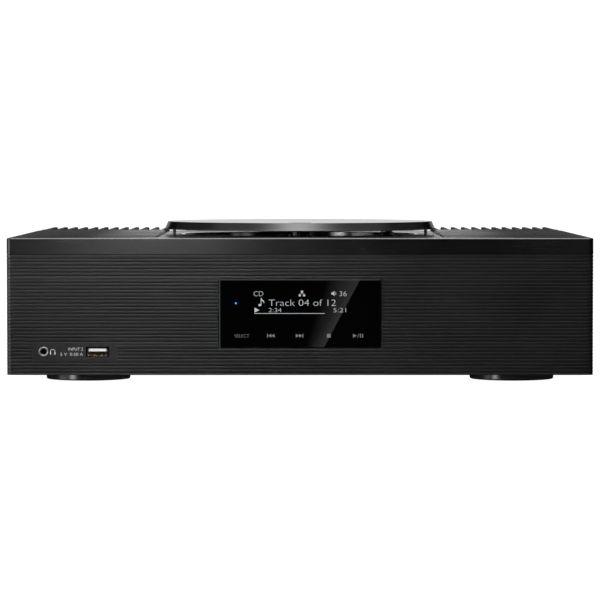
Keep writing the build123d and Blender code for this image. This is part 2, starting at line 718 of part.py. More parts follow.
def main_board():
    """The populated board: two large chips and two rows of small ones."""
    top = BOARD_Z[1]
    large = [block(around(x, 9), around(y, 9), (top, top + 1.6)) for x, y in ((4, 68), (38, 74))]
    small_places = [(x, y) for x in (-60, -40, -20, 60) for y in (55, 85)]
    small = [block(around(x, 5), around(y, 3.5), (top, top + 1.4)) for x, y in small_places]
    return board(*MAIN_BOARD).fuse(*large, *small)


def reservoir_caps():
    can = post(0, 0, (BOARD_Z[1], 46), 9)
    can = chamfer(can.edges().group_by(Axis.Z)[-1], 0.8)
    return group([Pos(x, y, 0) * can for x in (-105, -127) for y in (8, 30)])


def transformer():
    """Ferrite frame with the winding standing proud of both faces."""
    frame = block((-160, -118), (50, 82), (BOARD_Z[1], 52))
    winding = block((-153, -125), (45, 87), (21, 45))
    return frame + winding


def heatsink():
    """Finned block under the right-hand vent."""
    base = block((92, 98), (24, 104), (FLOOR_TOP, 62))
    fins = [block((98, 150), around(y, 1), (FLOOR_TOP, 62)) for y in range(28, 104, 8)]
    return base.fuse(*fins)


def ribbon_cable():
    """Flat cable from the drive down to the main board, with a plug at each end."""
    path = FilletPolyline((0, 33, 66), (0, 33, 56), (0, 43, 46), (0, 43, 22), radius=5)
    section = Plane((0, 33, 66), x_dir=(1, 0, 0), z_dir=(0, 0, -1)) * Rectangle(20, 0.3)
    cable = Pos(-11, 0, 0) * sweep(section, path=path)
    upper_plug = block((-22, 0), (30, 36), (66, CHASSIS_Z[0]))
    lower_plug = block((-22, 0), (40, 46), (BOARD_Z[1], 22))
    return cable + upper_plug + lower_plug


# ---------- all named pieces ----------
def all_parts():
    wall = wall_shell()
    return {
        "base_chassis": base_chassis(),
        "top_cap": top_cap(),
        "front_panel": front_panel(wall),
        "side_panel_left": side_panel(wall, -1),
        "side_panel_right": side_panel(wall, 1),
        "rear_panel": rear_panel(),
        "vent_grille_left": vent_grille(-1),
        "vent_grille_right": vent_grille(1),
        "case_screws": case_screws(),
        "feet": group([foot(x, y) for x, y in FOOT_PLACES]),
        "foot_pads": foot_pads(),
        "disc_well": disc_well(),
        "well_ring": well_ring(),
        "inner_screws": inner_screws(),
        "lid_plate": lid_plate(),
        "lid_backing": lid_backing(),
        "lid_shaft": lid_shaft(),
        "lid_bush": lid_bush(),
        "lid_clip": lid_clip(),
        "lid_lever": lid_lever(),
        "lid_switch": lid_switch(),
        "lid_bumpers": lid_bumpers(),
        "drive_chassis": drive_chassis(),
        "drive_grommets": grommets(),
        "guide_rods": group([guide_rod(-ROD_Y), guide_rod(ROD_Y)]),
        "spindle_motor": spindle_motor(),
        "spindle_shaft": spindle_shaft(),
        "disc_hub": disc_hub(),
        "seat_ring": seat_ring(),
        "hub_ball_rear": hub_ball(BALL_ANGLES[0]),
        "hub_ball_left": hub_ball(BALL_ANGLES[1]),
        "hub_ball_right": hub_ball(BALL_ANGLES[2]),
        "pickup_sled": pickup_sled(),
        "pickup_cover": pickup_cover(),
        "lens_carrier": lens_carrier(),
        "objective_lens": objective_lens(),
        "feed_gear": feed_gear(),
        "feed_motor": feed_motor(),
        "feed_pinion": feed_pinion(),
        "display_glass": display_glass(),
        "display_module": display_module(),
        "status_led": status_led(),
        "front_board": front_board(),
        "headphone_jack": headphone_jack(),
        "jack_ring": jack_ring(),
        "usb_shell": usb_shell(),
        "usb_tongue": usb_tongue(),
        "usb_contacts": usb_contacts(),
        "socket_board": socket_board(),
        "mains_inlet": mains_inlet(),
        "inlet_pins": inlet_pins(),
        "line_jacks": line_jacks(),
        "line_jack_shells": line_jack_shells(),
        "lan_socket": lan_socket(),
        "main_board": main_board(),
        "power_board": board(*POWER_BOARD),
        "transformer": transformer(),
        "heatsink": heatsink(),
        "reservoir_caps": reservoir_caps(),
        "ribbon_cable": ribbon_cable(),
    }


os.makedirs("parts", exist_ok=True)
for name, shape in all_parts().items():
    export_step(shape, f"parts/{name}.step")
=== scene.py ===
import bmesh
import bpy
from math import cos, exp, pi, radians, sin
from mathutils import Matrix, Vector


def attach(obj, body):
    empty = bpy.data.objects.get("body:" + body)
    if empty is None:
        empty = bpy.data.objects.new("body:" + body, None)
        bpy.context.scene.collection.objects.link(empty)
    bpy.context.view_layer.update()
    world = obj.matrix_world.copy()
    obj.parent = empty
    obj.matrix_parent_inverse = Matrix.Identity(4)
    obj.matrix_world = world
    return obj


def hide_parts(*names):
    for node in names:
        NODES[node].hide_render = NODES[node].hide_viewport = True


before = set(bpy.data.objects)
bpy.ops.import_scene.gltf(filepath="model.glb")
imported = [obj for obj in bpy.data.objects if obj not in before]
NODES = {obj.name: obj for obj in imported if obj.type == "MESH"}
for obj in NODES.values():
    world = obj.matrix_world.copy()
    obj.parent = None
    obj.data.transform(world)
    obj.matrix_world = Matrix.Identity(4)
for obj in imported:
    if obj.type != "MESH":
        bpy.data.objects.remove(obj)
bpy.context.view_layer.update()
MM = 0.001

# ---------- sizes in millimetres, in the CAD's frame ----------
WIDTH = 360.0
DEPTH = 248.0
CORNER_R = 2.8
FRONT = -DEPTH / 2
REAR = DEPTH / 2
BODY_BOTTOM = 4.4
SEAM = 78.3
DECK_TOP = 88.4
DECK_UNDER = DECK_TOP - 3.0
RIM_CHAMFER = 0.5
PANEL_WALL = 3.0
PANEL_BACK = FRONT + 6.0
SIDE_WALL = 4.0
RIB_PITCH = 2.13
RIB_COUNT = 34
RIB_DEPTH = 0.35
WINDOW_X = 50.3
WINDOW_Z = (20.6, 63.8)
GLASS_X = 49.5
GLASS_Z = (21.3, 63.1)
GLASS_FRONT = FRONT + 0.06
FIELD_X = (-164.0, -112.1)
FIELD_Z = (13.2, 23.1)
FIELD_SUNK = 0.06
JACK = (-157.3, 18.8)
JACK_RING_R = 3.1
USB = (-124.3, 18.5)
USB_OPENING = (14.4, 6.7)
WELL_R = 75.0
WELL_RING_R = WELL_R + 2.0
WELL_FLOOR = 83.4
LID_BOTTOM = 91.8
LID_LAND = 0.5
LID_TOP = 97.0
LID_R_BOTTOM = 87.7
LID_R_TOP = 85.6
PIVOT = (58.0, 58.0)
PIVOT_HOLE_R = 4.0
FOOT_R = 26.1
FOOT_PLACES = [(x, y) for x in (-132.0, 132.0) for y in (-89.0, 89.0)]
FIN_TOP = 90.7
VENT_X = (89.7, 169.3)
VENT_Y = (36.0, 118.0)
MARK_BACK = GLASS_FRONT - 0.005
MARK_T = 0.02
CAP_RATIO = 0.73
LETTER_THINNING = -0.018

# ---------- how finely round things are made ----------
ROUND = 192
LID_ROUND = 256
CORNER_STEPS = 6
GUARD = 0.15

# ---------- camera ----------
CAMERA_DISTANCE = 2.0
CAMERA_HEIGHT = 0.1319
LENS_MM = 195.9
TILT = 2.33


# ---------- materials ----------
PATCH_SCALE = 22.0
GRAIN_HEIGHT = 0.00002
ALONG_X = (0.02, 1, 1)
ALONG_Y = (1, 0.02, 1)


def new_material(name):
    """A new node material: returns it, its node tree and its principled shader."""
    material = bpy.data.materials.new(name)
    material.use_nodes = True
    tree = material.node_tree
    shader = tree.nodes["Principled BSDF"]
    return material, tree, shader


def node(tree, kind, **values):
    """Adds a node; each value goes to the input of that name, or else to the node's own setting."""
    made = tree.nodes.new(kind)
    for key, value in values.items():
        if key in made.inputs:
            made.inputs[key].default_value = value
        else:
            setattr(made, key, value)
    return made


def noise(tree, scale, stretch=(1, 1, 1), detail=4.0):
    """Object-space noise, stretched along an axis by a small factor on it."""
    coords = node(tree, "ShaderNodeTexCoord")
    mapping = node(tree, "ShaderNodeMapping", Scale=stretch)
    texture = node(tree, "ShaderNodeTexNoise", Scale=scale, Detail=detail, Roughness=0.6)
    tree.links.new(coords.outputs["Object"], mapping.inputs["Vector"])
    tree.links.new(mapping.outputs["Vector"], texture.inputs["Vector"])
    return texture


def ramp(tree, value, low, high, at_low, at_high):
    """A clamped linear ramp of a value."""
    ranged = node(tree, "ShaderNodeMapRange")
    tree.links.new(value, ranged.inputs["Value"])
    ranged.inputs["From Min"].default_value = low
    ranged.inputs["From Max"].default_value = high
    ranged.inputs["To Min"].default_value = at_low
    ranged.inputs["To Max"].default_value = at_high
    return ranged.outputs["Result"]


def combined(tree, operation, first, second):
    """Two values put together by a maths node."""
    made = node(tree, "ShaderNodeMath", operation=operation)
    tree.links.new(first, made.inputs[0])
    tree.links.new(second, made.inputs[1])
    return made.outputs["Value"]


def spread(tree, source, low, high):
    """Maps the middle of a noise's range to low..high."""
    return ramp(tree, source.outputs["Fac"], 0.3, 0.7, low, high)


def tint(tree, source, dark, light):
    """Blends two colours by a noise value."""
    blend = node(tree, "ShaderNodeMix", data_type="RGBA")
    blend.inputs["A"].default_value = (*dark, 1)
    blend.inputs["B"].default_value = (*light, 1)
    tree.links.new(spread(tree, source, 0, 1), blend.inputs["Factor"])
    return blend.outputs["Result"]


def bump(tree, shader, source, strength, distance):
    """Lets a noise raise the surface."""
    made = node(tree, "ShaderNodeBump", Strength=strength, Distance=distance)
    tree.links.new(source.outputs["Fac"], made.inputs["Height"])
    tree.links.new(made.outputs["Normal"], shader.inputs["Normal"])


def surface(name, dark, light, rough, metallic=0.0, grain=900.0, stretch=(1, 1, 1), bump_strength=0.25,
            coat=0.0, specular=0.5, brushed=0.0, unevenness=0.03):
    """Mottled colour, and roughness that varies by a fine grain and by large soft patches."""
    material, tree, shader = new_material(name)
    fine = noise(tree, grain, stretch)
    broad = noise(tree, PATCH_SCALE, detail=2.0)
    tree.links.new(tint(tree, broad, dark, light), shader.inputs["Base Color"])
    grained = spread(tree, fine, *rough)
    patchy = spread(tree, broad, -unevenness, unevenness)
    tree.links.new(combined(tree, "ADD", grained, patchy), shader.inputs["Roughness"])
    shader.inputs["Metallic"].default_value = metallic
    shader.inputs["Specular IOR Level"].default_value = specular
    shader.inputs["Coat Weight"].default_value = coat
    shader.inputs["Coat Roughness"].default_value = 0.05
    if brushed:
        tangent = node(tree, "ShaderNodeTangent", direction_type="RADIAL", axis="X")
        tree.links.new(tangent.outputs["Tangent"], shader.inputs["Tangent"])
        shader.inputs["Anisotropic"].default_value = brushed
    if bump_strength:
        bump(tree, shader, fine, bump_strength, GRAIN_HEIGHT)
    return material


def glowing(name, colour, strength, flicker):
    """A lit mark whose brightness varies slightly from dot to dot."""
    material, tree, shader = new_material(name)
    dots = noise(tree, flicker)
    shader.inputs["Base Color"].default_value = (0, 0, 0, 1)
    shader.inputs["Emission Color"].default_value = (*colour, 1)
    shader.inputs["Roughness"].default_value = 0.4
    tree.links.new(spread(tree, dots, 0.85 * strength, strength), shader.inputs["Emission Strength"])
    return material


RIBBED = surface("ribbed_black", (0.0016, 0.0016, 0.0018), (0.0026, 0.0026, 0.0029), (0.32, 0.38),
                 grain=1600, stretch=ALONG_X, bump_strength=0.0, specular=0.38)
BAND = surface("brushed_band", (0.0014, 0.0014, 0.0016), (0.0022, 0.0022, 0.0025), (0.22, 0.27),
               grain=2600, stretch=ALONG_X, bump_strength=0.05, specular=0.25, brushed=0.5)
CUT_EDGE = surface("cut_edge", (0.095, 0.095, 0.098), (0.12, 0.12, 0.124), (0.24, 0.30), metallic=1.0,
                   grain=1800)
FINS = surface("fin_black", (0.018, 0.018, 0.020), (0.03, 0.03, 0.033), (0.4, 0.55), grain=1500,
               stretch=ALONG_Y)
SHEET = surface("black_sheet_steel", (0.02, 0.02, 0.021), (0.03, 0.03, 0.031), (0.45, 0.6), grain=1200,
                bump_strength=0.5)
LID_GLOSS = surface("smoked_acrylic", (0.002, 0.002, 0.0025), (0.0035, 0.0035, 0.004), (0.04, 0.07),
                    grain=500, bump_strength=0.0, coat=1.0)
GLASS = surface("display_glass_black", (0.0002, 0.0002, 0.0003), (0.0004, 0.0004, 0.0005), (0.004, 0.008),
                grain=400, bump_strength=0.0, unevenness=0.002)
GLOSS = surface("gloss_black", (0.006, 0.006, 0.007), (0.010, 0.010, 0.011), (0.16, 0.22), grain=700,
                bump_strength=0.04)
MOULDED = surface("moulded_black", (0.014, 0.014, 0.015), (0.024, 0.024, 0.025), (0.45, 0.6), grain=2500,
                  bump_strength=0.4)
RUBBER = surface("black_rubber", (0.015, 0.015, 0.015), (0.03, 0.03, 0.03), (0.7, 0.85), grain=1800,
                 bump_strength=0.6)
DARK_CHROME = surface("dark_polished_metal", (0.16, 0.16, 0.17), (0.2, 0.2, 0.21), (0.06, 0.12), metallic=1.0,
                      bump_strength=0.03)
SATIN_METAL = surface("satin_nickel", (0.22, 0.22, 0.23), (0.30, 0.30, 0.31), (0.38, 0.50), metallic=1.0,
                      grain=1500)
STEEL = surface("zinc_steel", (0.42, 0.42, 0.42), (0.58, 0.58, 0.57), (0.25, 0.42), metallic=1.0, grain=1500,
                stretch=(1, 1, 0.05))
GOLD = surface("gold_plate", (0.70, 0.46, 0.24), (0.85, 0.60, 0.34), (0.15, 0.28), metallic=1.0, grain=1200,
               bump_strength=0.1)
TONGUE = surface("pale_moulding", (0.40, 0.40, 0.41), (0.52, 0.52, 0.53), (0.4, 0.55), grain=2200)
ACETAL = surface("white_acetal", (0.70, 0.69, 0.65), (0.80, 0.79, 0.75), (0.35, 0.5), grain=1800)
BOARD = surface("board_green", (0.008, 0.07, 0.03), (0.012, 0.11, 0.045), (0.3, 0.45), coat=0.3)
COIL = surface("varnished_tape", (0.30, 0.22, 0.05), (0.42, 0.31, 0.08), (0.3, 0.5), grain=1400,
               stretch=(1, 1, 0.1))
SLEEVE = surface("can_sleeve_navy", (0.012, 0.014, 0.05), (0.02, 0.022, 0.07), (0.2, 0.35), grain=1000)
LENS = surface("coated_lens", (0.10, 0.14, 0.30), (0.16, 0.2, 0.42), (0.02, 0.05), grain=600,
               bump_strength=0.01, coat=1.0)
PRINT = surface("grey_print", (0.40, 0.40, 0.41), (0.50, 0.50, 0.51), (0.5, 0.65), grain=2500)
LIT = glowing("display_light", (0.80, 0.86, 0.90), 0.62, 6000)
KEY_LIT = glowing("key_light", (0.55, 0.57, 0.60), 0.30, 6000)
BLUE = glowing("blue_light", (0.03, 0.25, 1.0), 2.2, 3000)


# ---------- mesh helpers ----------
def raw_mesh(name, vertices, faces):
    """A mesh from points in millimetres."""
    mesh = bpy.data.meshes.new(name)
    mesh.from_pydata([(x * MM, y * MM, z * MM) for x, y, z in vertices], [], faces)
    return mesh


def linked(name, data):
    """An object in the scene that holds the data."""
    made = bpy.data.objects.new(name, data)
    bpy.context.scene.collection.objects.link(made)
    return made


def shape_of(item):
    """An object's mesh as it is seen, with its modifiers or its curve worked out."""
    bpy.context.view_layer.update()
    return bpy.data.meshes.new_from_object(item.evaluated_get(bpy.context.evaluated_depsgraph_get()))


def mesh_piece(name, vertices, faces, material, body="cabinet", smooth_angle=30.0):
    """A mesh object from points in millimetres, riding on a body."""
    return finished_piece(name, raw_mesh(name, vertices, faces), material, body, smooth_angle)


def finished_piece(name, mesh, material, body="cabinet", smooth_angle=30.0):
    """Welds a mesh, turns its faces outward, smooths it below the angle and rides it on a body."""
    clean = bmesh.new()
    clean.from_mesh(mesh)
    bmesh.ops.remove_doubles(clean, verts=clean.verts, dist=0.000002)
    bmesh.ops.recalc_face_normals(clean, faces=clean.faces)
    clean.to_mesh(mesh)
    clean.free()
    mesh.materials.append(material)
    piece = linked(name, mesh)
    mesh.shade_smooth()
    mesh.set_sharp_from_angle(angle=radians(smooth_angle))
    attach(piece, body)
    return piece


def bevelled(piece, width):
    """Rounds the sharp edges of a piece."""
    modifier = piece.modifiers.new("edge_round", "BEVEL")
    modifier.width = width * MM
    modifier.segments = 2
    modifier.limit_method = "ANGLE"
    modifier.angle_limit = radians(30)
    modifier.harden_normals = False


def rounded_outline(width, depth, radius, guard=0.0):
    """Points with outward normals round a rounded rectangle, anticlockwise from the front left.

    A guard adds a point that far along the straights beside each corner, which keeps them flat when shaded.
    """
    corners = ((-1, -1, 180), (1, -1, 270), (1, 1, 0), (-1, 1, 90))
    outline = []
    for side_x, side_y, start in corners:
        centre_x = side_x * (width / 2 - radius)
        centre_y = side_y * (depth / 2 - radius)
        corner = []
        for step in range(CORNER_STEPS + 1):
            angle = radians(start + 90 * step / CORNER_STEPS)
            normal = (cos(angle), sin(angle))
            corner.append((centre_x + radius * normal[0], centre_y + radius * normal[1], *normal))
        if guard:
            x, y, normal_x, normal_y = corner[0]
            corner.insert(0, (x + normal_y * guard, y - normal_x * guard, normal_x, normal_y))
            x, y, normal_x, normal_y = corner[-1]
            corner.append((x - normal_y * guard, y + normal_x * guard, normal_x, normal_y))
        outline += corner
    return outline


def swept(outline, profile, closed_outline=True, closed_profile=True, skip=None):
    """Carries a profile of (inset, z) points along an outline of points with outward normals.

    Returns points and faces. skip is asked, for each face, whether it is left out.
    """
    vertices = []
    for x, y, normal_x, normal_y in outline:
        for inset, z in profile:
            vertices.append((x - normal_x * inset, y - normal_y * inset, z))
    count = len(profile)
    spans = len(outline) if closed_outline else len(outline) - 1
    rises = count if closed_profile else count - 1
    faces = []
    for here in range(spans):
        there = (here + 1) % len(outline)
        for level in range(rises):
            up = (level + 1) % count
            if skip and skip(outline[here], outline[there], profile[level], profile[up]):
                continue
            faces.append((here * count + level, there * count + level, there * count + up, here * count + up))
    if not closed_outline and closed_profile:
        faces.append(tuple(range(count)))
        faces.append(tuple(spans * count + level for level in reversed(range(count))))
    return vertices, faces


def turned(profile, centre, segments=ROUND):
    """Turns a closed (radius, height) profile about an axis; returns points and faces."""
    turns = [2 * pi * step / segments for step in range(segments)]
    axis = [(*centre, cos(turn), sin(turn)) for turn in turns]
    return swept(axis, [(-radius, height) for radius, height in profile])


def lathe(name, profile, material, body="cabinet", segments=ROUND):
    """A piece turned about the upright axis through the origin."""
    return mesh_piece(name, *turned(profile, (0, 0), segments), material, body)


def arc(centre_r, centre_z, radius, start, end, steps):
    """Profile points round part of a circle, angles in degrees from the +radius direction."""
    points = []
    for step in range(steps + 1):
        angle = radians(start + (end - start) * step / steps)
        points.append((centre_r + radius * cos(angle), centre_z + radius * sin(angle)))
    return points


def circle(centre_x, centre_y, radius, steps=96):
    return [(centre_x + radius * cos(2 * pi * k / steps), centre_y + radius * sin(2 * pi * k / steps))
            for k in range(steps)]


def rounded_rect(centre_x, centre_y, width, height, radius):
    return [(centre_x + x, centre_y + y) for x, y, _, _ in rounded_outline(width, height, radius)]


def plate_mesh(name, outlines, low, high):
    """A flat plate with holes, from outlines in its own plane, between two heights; all in millimetres."""
    curve = bpy.data.curves.new(name, "CURVE")
    curve.dimensions = "2D"
    curve.fill_mode = "BOTH"
    curve.extrude = (high - low) / 2 * MM
    for points in outlines:
        spline = curve.splines.new("POLY")
        spline.points.add(len(points) - 1)
        for point, (x, y) in zip(spline.points, points):
            point.co = (x * MM, y * MM, 0, 1)
        spline.use_cyclic_u = True
    holder = linked(name, curve)
    mesh = shape_of(holder)
    bpy.data.objects.remove(holder)
    mesh.transform(Matrix.Translation((0, 0, (low + high) / 2 * MM)))
    return mesh


def upright(mesh, front_y):
    """Stands a plate made in XY up to face the front: its y becomes z, and its top faces -Y."""
    mesh.transform(Matrix.Rotation(radians(90), 4, "X"))
    mesh.transform(Matrix.Translation((0, front_y * MM, 0)))
    return mesh


def join_meshes(name, meshes, material):
    """One piece of the cabinet from several meshes."""
    whole = bmesh.new()
    for mesh in meshes:
        whole.from_mesh(mesh)
    joined = bpy.data.meshes.new(name)
    whole.to_mesh(joined)
    whole.free()
    return finished_piece(name, joined, material)


# ---------- ribbed walls ----------
def rib_profile(levels=()):
    """Flat lands and narrow grooves from the seam down, as (inset, z), and a point at each given height.

    The groove's shape is in shares of the pitch and of the depth.
    """
    points = [(0.35, SEAM), (0.0, SEAM - 0.3), (0.0, SEAM - 0.4)]
    shape = ((0.06, 0.0), (0.70, 0.0), (0.73, 0.03), (0.75, 0.12), (0.82, 0.9), (0.86, 1.0), (0.90, 0.9),
             (0.97, 0.12), (0.99, 0.03), (1.02, 0.0))
    start = SEAM - 0.55
    for rib in range(RIB_COUNT):
        for along, depth in shape:
            z = start - RIB_PITCH * (rib + along)
            if z > BODY_BOTTOM + 0.5:
                points.append((RIB_DEPTH * depth, z))
    points += [(0.0, BODY_BOTTOM + 0.3), (0.3, BODY_BOTTOM)]
    for level in levels:
        for index in range(len(points) - 1):
            (inset_a, z_a), (inset_b, z_b) = points[index], points[index + 1]
            if z_a > level > z_b:
                share = (z_a - level) / (z_a - z_b)
                points.insert(index + 1, (inset_a + (inset_b - inset_a) * share, level))
                break
    return points


def ribbed_front():
    """Front wall with its display window and the smooth field round the sockets."""
    stops = sorted([*WINDOW_Z, *FIELD_Z])
    front = rib_profile(stops)
    profile = front + [(PANEL_WALL, z) for z in [BODY_BOTTOM, *stops, SEAM]]
    corners = rounded_outline(WIDTH, DEPTH, CORNER_R, GUARD)
    per_corner = len(corners) // 4
    left, right = corners[:per_corner], corners[per_corner:2 * per_corner]
    breaks = [(x, FRONT, 0.0, -1.0) for x in (*FIELD_X, -WINDOW_X, WINDOW_X)]
    outline = [(-WIDTH / 2, PANEL_BACK, -1.0, 0.0), *left, *breaks, *right, (WIDTH / 2, PANEL_BACK, 1.0, 0.0)]

    def in_hole(a, b, low, high):
        middle_x = (a[0] + b[0]) / 2
        middle_z = (low[1] + high[1]) / 2
        flat = abs(a[1] - b[1]) < 0.01
        in_window = abs(middle_x) < WINDOW_X and WINDOW_Z[0] < middle_z < WINDOW_Z[1]
        in_field = FIELD_X[0] < middle_x < FIELD_X[1] and FIELD_Z[0] < middle_z < FIELD_Z[1]
        return flat and (in_window or in_field)

    vertices, faces = swept(outline, profile, closed_outline=False, skip=in_hole)
    close = 0.001

    def hole_walls(x_range, z_range):
        for x in x_range:
            inside = [(inset, z) for inset, z in front if z_range[0] - close <= z <= z_range[1] + close]
            first = len(vertices)
            for inset, z in inside:
                vertices.append((x, FRONT + inset, z))
                vertices.append((x, FRONT + PANEL_WALL, z))
            for index in range(len(inside) - 1):
                k = first + 2 * index
                faces.append((k, k + 1, k + 3, k + 2))
        for z in z_range:
            inset = next(depth for depth, level in front if abs(level - z) < close)
            first = len(vertices)
            for x in x_range:
                vertices.append((x, FRONT + inset, z))
                vertices.append((x, FRONT + PANEL_WALL, z))
            faces.append((first, first + 1, first + 3, first + 2))

    hole_walls((-WINDOW_X, WINDOW_X), WINDOW_Z)
    hole_walls(FIELD_X, FIELD_Z)
    shell = raw_mesh("ribbed_front", vertices, faces)
    piece = join_meshes("ribbed_front", [shell, socket_field()], RIBBED)
    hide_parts("front_panel")


def socket_field():
    """The smooth field that fills its hole in the ribs, with openings for the two sockets."""
    clearance = 0.02
    middle = ((FIELD_X[0] + FIELD_X[1]) / 2, (FIELD_Z[0] + FIELD_Z[1]) / 2)
    size = (FIELD_X[1] - FIELD_X[0] - clearance, FIELD_Z[1] - FIELD_Z[0] - clearance)
    outer = rounded_rect(*middle, *size, 0.3)
    holes = [circle(*JACK, JACK_RING_R, 64), rounded_rect(*USB, *USB_OPENING, 0.6)]
    field = plate_mesh("field", [outer, *holes], FIELD_SUNK, PANEL_WALL)
    return upright(field, FRONT + FIELD_SUNK + PANEL_WALL)


def ribbed_side(side, node_name):
    """Side wall whose ribs carry on from the front and turn in at the rear corner."""
    profile = rib_profile() + [(SIDE_WALL, BODY_BOTTOM), (SIDE_WALL, SEAM)]
    corners = rounded_outline(WIDTH, DEPTH, CORNER_R, GUARD)
    per_corner = len(corners) // 4
    rear_corner = corners[2 * per_corner:3 * per_corner]
    outline = [(WIDTH / 2, PANEL_BACK, 1.0, 0.0), *rear_corner[:-1]]
    vertices, faces = swept(outline, profile, closed_outline=False)
    placed = [(side * x, min(y, REAR), z) for x, y, z in vertices]
    piece = mesh_piece(node_name, placed, faces, RIBBED)
    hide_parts(node_name)


# ---------- camera, light and stage ----------
def camera():
    """A long lens straight in front, a little above the deck and looking slightly down."""
    data = bpy.data.cameras.new("camera")
    data.lens = LENS_MM
    data.sensor_width = 36.0
    data.clip_start = 0.05
    eye = linked("camera", data)
    eye.location = (0.0, FRONT * MM - CAMERA_DISTANCE, CAMERA_HEIGHT)
    eye.rotation_euler = (radians(90 - TILT), 0, 0)
    bpy.context.scene.camera = eye


def soft_card(name, place, target, size, strength, softness):
    """A glowing card that lights the object and shows in its gloss, with its place and size in metres.

    It fades towards its edges; the softness across and up says how fast.
    """
    steps = 16
    width, height = size
    vertices = []
    glow = []
    for row in range(steps + 1):
        for column in range(steps + 1):
            across, up = 2 * column / steps - 1, 2 * row / steps - 1
            vertices.append((across * width / 2, up * height / 2, 0.0))
            glow.append(exp(-(across * softness[0]) ** 2 - (up * softness[1]) ** 2))
    faces = []
    for row in range(steps):
        for column in range(steps):
            corner = row * (steps + 1) + column
            faces.append((corner, corner + 1, corner + steps + 2, corner + steps + 1))
    mesh = bpy.data.meshes.new(name)
    mesh.from_pydata(vertices, [], faces)
    card = glowing_stage(name, mesh, glow, strength)
    card.location = place
    aim = Vector(target) - Vector(place)
    card.rotation_euler = aim.to_track_quat("-Z", "Y").to_euler()
    card.visible_camera = False
    card.visible_shadow = False


def glowing_stage(name, mesh, glow, strength):
    """A stage object that shines by its points' glow values."""
    mesh.attributes.new("glow", "FLOAT", "POINT").data.foreach_set("value", glow)
    mesh.materials.append(card_material(name, strength))
    made = linked(name, mesh)
    return made


def card_material(name, strength):
    """Light whose strength follows the glow values, added to what is behind the surface."""
    material, tree, _ = new_material(name)
    tree.nodes.clear()
    glow = node(tree, "ShaderNodeAttribute", attribute_name="glow")
    scaled = node(tree, "ShaderNodeMath", operation="MULTIPLY")
    scaled.inputs[1].default_value = strength
    emission = node(tree, "ShaderNodeEmission")
    clear = node(tree, "ShaderNodeBsdfTransparent")
    both = node(tree, "ShaderNodeAddShader")
    output = node(tree, "ShaderNodeOutputMaterial")
    tree.links.new(glow.outputs["Fac"], scaled.inputs[0])
    tree.links.new(scaled.outputs["Value"], emission.inputs["Strength"])
    tree.links.new(emission.outputs["Emission"], both.inputs[0])
    tree.links.new(clear.outputs["BSDF"], both.inputs[1])
    tree.links.new(both.outputs["Shader"], output.inputs["Surface"])
    return material


def studio():
    """A large overhead box, three boxes from the front left to the side, and a weak fill at the right."""
    soft_card("overhead_box", place=(-0.03, -0.60, 1.20), target=(-0.03, -0.40, 0.08), size=(2.0, 1.5),
              strength=6.5, softness=(2.4, 1.2))
    soft_card("front_left_box", place=(-0.12, -0.75, 0.26), target=(-0.08, -0.12, 0.06), size=(0.13, 0.30),
              strength=26.0, softness=(1.2, 0.5))
    soft_card("left_strip", place=(-0.78, -0.86, 0.16), target=(-0.05, 0, 0.05), size=(0.42, 0.75),
              strength=10.0, softness=(1.6, 0.5))
    soft_card("side_box", place=(-1.07, -0.43, 0.20), target=(-0.18, -0.12, 0.06), size=(0.5, 0.45),
              strength=12.0, softness=(1.0, 0.6))
    soft_card("right_fill", place=(0.27, -0.75, 0.26), target=(0.17, -0.12, 0.08), size=(0.06, 0.3),
              strength=4.0, softness=(1.0, 0.5))


def surroundings():
    """A dim room that the gloss picks up, with a pale strip on the horizon behind and a pale ceiling."""
    world = bpy.data.worlds.new("room")
    bpy.context.scene.world = world
    world.use_nodes = True
    tree = world.node_tree
    background = tree.nodes["Background"]
    background.inputs["Color"].default_value = (1, 1, 1, 1)
    coords = node(tree, "ShaderNodeTexCoord")
    split = node(tree, "ShaderNodeSeparateXYZ")
    tree.links.new(coords.outputs["Generated"], split.inputs["Vector"])
    behind = ramp(tree, split.outputs["Y"], 0.2, 0.95, 0.0, 0.62)
    above_ground = ramp(tree, split.outputs["Z"], -0.004, 0.004, 0.0, 1.0)
    brightening = ramp(tree, split.outputs["Z"], 0.016, 0.05, 0.6, 2.4)
    fading_up = ramp(tree, split.outputs["Z"], 0.09, 0.17, 1.0, 0.0)
    sideways = node(tree, "ShaderNodeMath", operation="ABSOLUTE")
    tree.links.new(split.outputs["X"], sideways.inputs[0])
    narrowing = ramp(tree, sideways.outputs["Value"], 0.042, 0.070, 1.3, 0.16)
    strip = behind
    for part in (above_ground, brightening, fading_up, narrowing):
        strip = combined(tree, "MULTIPLY", strip, part)
    overhead = ramp(tree, split.outputs["Z"], 0.25, 0.85, 0.008, 0.6)
    middle = ramp(tree, sideways.outputs["Value"], 0.2, 0.48, 1.0, 0.4)
    in_front = ramp(tree, split.outputs["Y"], -0.1, 0.2, 1.0, 0.0)
    ceiling = combined(tree, "MULTIPLY", overhead, combined(tree, "MAXIMUM", middle, in_front))
    tree.links.new(combined(tree, "ADD", strip, ceiling), background.inputs["Strength"])


def floor():
    """The pale floor, with a soft mottle, which runs far back so that it meets the backdrop unseen."""
    side, far = 6000, 40000
    corners = [(-side, -side, 0), (side, -side, 0), (side, far, 0), (-side, far, 0)]
    mesh = raw_mesh("floor", corners, [(0, 1, 2, 3)])
    ground = linked("floor", mesh)
    material = surface("pale_floor", (0.28, 0.28, 0.28), (0.32, 0.32, 0.32), (0.7, 0.8), grain=40,
                       bump_strength=0.02)
    shader = material.node_tree.nodes["Principled BSDF"]
    shader.inputs["Emission Color"].default_value = (1, 1, 1, 1)
    shader.inputs["Emission Strength"].default_value = 1.02
    mesh.materials.append(material)
    ground.visible_glossy = False


